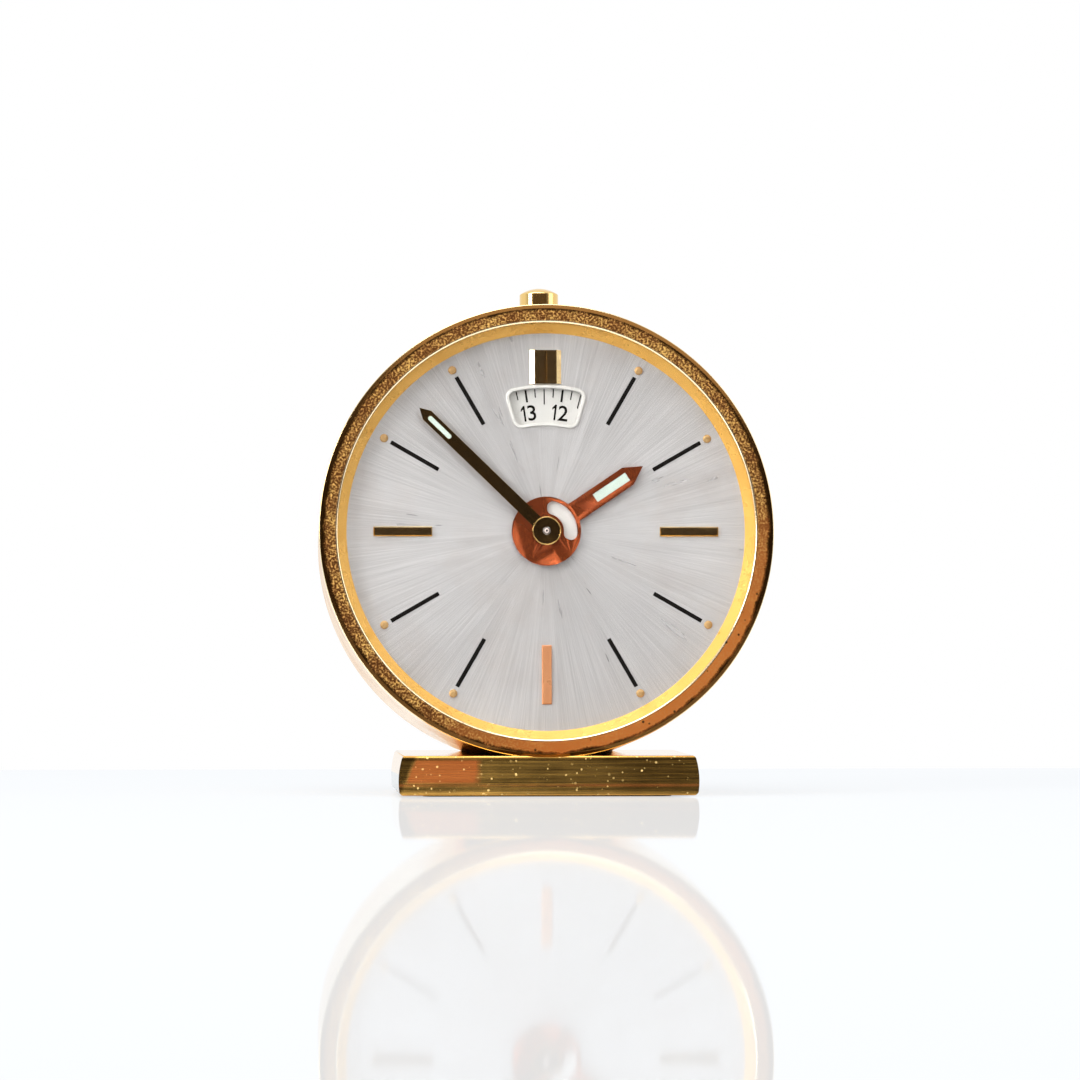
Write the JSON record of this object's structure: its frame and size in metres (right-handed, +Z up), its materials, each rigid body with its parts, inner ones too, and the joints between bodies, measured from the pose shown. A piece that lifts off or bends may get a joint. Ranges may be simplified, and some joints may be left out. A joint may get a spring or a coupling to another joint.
{
  "type": "mechanical alarm desk clock",
  "caption": "Round gold alarm desk clock on a bar foot: silver sunray dial, 24-hour alarm disc in a fan window, crescent day-night hour hand, top stop button, keys and knobs behind.",
  "frame": {"origin": "centre of the bounding box on the surface that the foot rests on", "axes": "+Z up, the dial faces -Y and leans back 4 degrees, +X to the right as seen from the front"},
  "size_m": [0.0656, 0.0424, 0.0743],
  "materials": {
    "gold_plate": "polished gold plate with fine scratches and small pits",
    "crystal_glass": "clear flat glass",
    "black_gasket": "matt",
    "green_felt": "dark felt",
    "dial_silver": "silvered sunray finish",
    "frame_white": "satin white",
    "marker_gold": "polished with bevelled edges",
    "hand_bronze": "polished",
    "lume": "pale luminous filling",
    "day_night": "half white, half dark",
    "disc_white": "white with printed scale",
    "movement_brass": "brushed",
    "movement_steel": "polished",
    "spring_steel": "blued"
  },
  "bodies": {
    "case": {"base_bar": "gold_plate", "felt_pad": "green_felt", "base_screws": "movement_steel", "case_drum": "gold_plate", "bezel": "gold_plate", "crystal": "crystal_glass", "crystal_gasket": "black_gasket", "rehaut_ring": "gold_plate", "back_cover": "gold_plate", "back_cover_screws": "movement_steel", "button_bush": "gold_plate", "button_spring": "spring_steel", "dial_plate": "dial_silver", "window_frame": "frame_white", "twelve_marker": "marker_gold", "hour_markers": "marker_gold", "motion_bridge": "movement_brass", "main_plate": "movement_brass", "back_plate": "movement_brass", "pillars": "movement_brass", "movement_screws": "movement_steel", "hairspring": "spring_steel", "balance_cock": "movement_brass"},
    "button": {"alarm_button": "gold_plate"},
    "minute": {"centre_arbor": "movement_steel", "centre_wheel": "movement_brass", "cannon_pinion": "movement_steel", "minute_hand": "hand_bronze", "minute_lume": "lume"},
    "hour": {"hour_wheel": "movement_brass", "hour_hand": "hand_bronze", "hour_lume": "lume"},
    "day_night": {"day_night_disc": "day_night", "day_night_wheel": "movement_brass"},
    "minute_wheel": {"minute_wheel": "movement_brass"},
    "day_night_idler": {"day_night_idler": "movement_brass"},
    "hand_set": {"hand_set_arbor": "movement_steel", "hand_set_knob": "gold_plate"},
    "barrel": {"barrel": "movement_brass", "barrel_cover": "movement_brass", "mainspring": "spring_steel"},
    "winding": {"winding_arbor": "movement_steel", "ratchet_wheel": "movement_steel", "winding_key": "gold_plate"},
    "click": {"click": "movement_steel"},
    "third_wheel": {"third_wheel": "movement_brass"},
    "fourth_wheel": {"fourth_wheel": "movement_brass"},
    "escape_wheel": {"escape_wheel": "movement_steel"},
    "pallet_fork": {"pallet_fork": "movement_steel"},
    "balance": {"balance_wheel": "movement_brass"},
    "alarm_disc": {"alarm_disc": "disc_white"},
    "alarm_set": {"alarm_set_arbor": "movement_steel", "alarm_set_knob": "gold_plate"},
    "alarm_barrel": {"alarm_barrel": "movement_brass", "alarm_spring": "spring_steel"},
    "alarm_winding": {"alarm_winding_arbor": "movement_steel", "alarm_key": "gold_plate"},
    "alarm_click": {"alarm_click": "movement_steel"},
    "alarm_wheel": {"alarm_wheel": "movement_brass"},
    "hammer": {"hammer": "movement_steel"}
  },
  "joints": [
    {"name": "button_press", "type": "slide", "parent": "case", "child": "button", "axis": [0, -0.0698, -0.9976], "range_m": [0, 0.0016], "stiffness_N_per_m": 200, "springref_m": -0.0015, "deforming": ["button_spring"]},
    {"name": "minute_turn", "type": "hinge", "parent": "case", "child": "minute", "pos_m": [0, -0.0062, 0.03752], "axis": [0, 0.9976, -0.0698], "continuous": true},
    {"name": "hour_turn", "type": "hinge", "parent": "case", "child": "hour", "pos_m": [0, -0.0062, 0.03752], "axis": [0, 0.9976, -0.0698], "continuous": true},
    {"name": "day_night_turn", "type": "hinge", "parent": "case", "child": "day_night", "pos_m": [0, -0.0062, 0.03752], "axis": [0, 0.9976, -0.0698], "continuous": true},
    {"name": "minute_wheel_turn", "type": "hinge", "parent": "case", "child": "minute_wheel", "pos_m": [0.00135, -0.00661, 0.03169], "axis": [0, 0.9976, -0.0698], "continuous": true},
    {"name": "day_night_idler_turn", "type": "hinge", "parent": "case", "child": "day_night_idler", "pos_m": [-0.0013, -0.00581, 0.04312], "axis": [0, 0.9976, -0.0698], "continuous": true},
    {"name": "hand_set_turn", "type": "hinge", "parent": "case", "child": "hand_set", "pos_m": [0.00277, -0.00704, 0.02557], "axis": [0, 0.9976, -0.0698], "continuous": true},
    {"name": "barrel_turn", "type": "hinge", "parent": "case", "child": "barrel", "pos_m": [-0.01065, -0.00672, 0.03008], "axis": [0, 0.9976, -0.0698], "continuous": true},
    {"name": "winding_turn", "type": "hinge", "parent": "case", "child": "winding", "pos_m": [-0.01065, -0.00672, 0.03008], "axis": [0, 0.9976, -0.0698], "continuous": true},
    {"name": "click_pivot", "type": "hinge", "parent": "case", "child": "click", "pos_m": [-0.00645, -0.00629, 0.03627], "axis": [0, 0.9976, -0.0698], "range_deg": [0, 6]},
    {"name": "third_wheel_turn", "type": "hinge", "parent": "case", "child": "third_wheel", "pos_m": [0.0045, -0.00566, 0.0453], "axis": [0, 0.9976, -0.0698], "continuous": true},
    {"name": "fourth_wheel_turn", "type": "hinge", "parent": "case", "child": "fourth_wheel", "pos_m": [0.01249, -0.00586, 0.0424], "axis": [0, 0.9976, -0.0698], "continuous": true},
    {"name": "escape_wheel_turn", "type": "hinge", "parent": "case", "child": "escape_wheel", "pos_m": [0.0152, -0.00638, 0.03497], "axis": [0, 0.9976, -0.0698], "continuous": true},
    {"name": "pallet_fork_pivot", "type": "hinge", "parent": "case", "child": "pallet_fork", "pos_m": [0.01345, -0.00672, 0.03019], "axis": [0, 0.9976, -0.0698], "range_deg": [-4, 4]},
    {"name": "balance_swing", "type": "hinge", "parent": "case", "child": "balance", "pos_m": [0.01174, -0.00704, 0.02551], "axis": [0, 0.9976, -0.0698], "range_deg": [-120, 120], "stiffness_Nm_per_rad": 0.000001},
    {"name": "alarm_disc_turn", "type": "hinge", "parent": "case", "child": "alarm_disc", "pos_m": [0, -0.0062, 0.03752], "axis": [0, 0.9976, -0.0698], "continuous": true},
    {"name": "alarm_set_turn", "type": "hinge", "parent": "case", "child": "alarm_set", "pos_m": [0.02295, -0.00679, 0.02919], "axis": [0, 0.9976, -0.0698], "continuous": true},
    {"name": "alarm_barrel_turn", "type": "hinge", "parent": "case", "child": "alarm_barrel", "pos_m": [-0.01356, -0.00541, 0.04887], "axis": [0, 0.9976, -0.0698], "continuous": true},
    {"name": "alarm_winding_turn", "type": "hinge", "parent": "case", "child": "alarm_winding", "pos_m": [-0.01356, -0.00541, 0.04887], "axis": [0, 0.9976, -0.0698], "continuous": true},
    {"name": "alarm_click_pivot", "type": "hinge", "parent": "case", "child": "alarm_click", "pos_m": [-0.00936, -0.00498, 0.05506], "axis": [0, 0.9976, -0.0698], "range_deg": [0, 6]},
    {"name": "alarm_wheel_turn", "type": "hinge", "parent": "case", "child": "alarm_wheel", "pos_m": [-0.00826, -0.00504, 0.05416], "axis": [0, 0.9976, -0.0698], "continuous": true},
    {"name": "hammer_pivot", "type": "hinge", "parent": "case", "child": "hammer", "pos_m": [0.00144, -0.00504, 0.05416], "axis": [0, 0.9976, -0.0698], "range_deg": [-6, 8]}
  ],
  "couplings": [
    {"joint": "minute_wheel_turn", "follows": "minute_turn", "ratio": -0.33333},
    {"joint": "hour_turn", "follows": "minute_turn", "ratio": 0.083333},
    {"joint": "day_night_idler_turn", "follows": "minute_turn", "ratio": -0.083333},
    {"joint": "day_night_turn", "follows": "minute_turn", "ratio": 0.041667},
    {"joint": "hand_set_turn", "follows": "minute_turn", "ratio": 0.83333},
    {"joint": "barrel_turn", "follows": "minute_turn", "ratio": -0.083333},
    {"joint": "third_wheel_turn", "follows": "minute_turn", "ratio": -8},
    {"joint": "fourth_wheel_turn", "follows": "minute_turn", "ratio": 60},
    {"joint": "escape_wheel_turn", "follows": "minute_turn", "ratio": -600},
    {"joint": "alarm_disc_turn", "follows": "alarm_set_turn", "ratio": -0.1},
    {"joint": "alarm_wheel_turn", "follows": "alarm_barrel_turn", "ratio": -5.25}
  ]
}
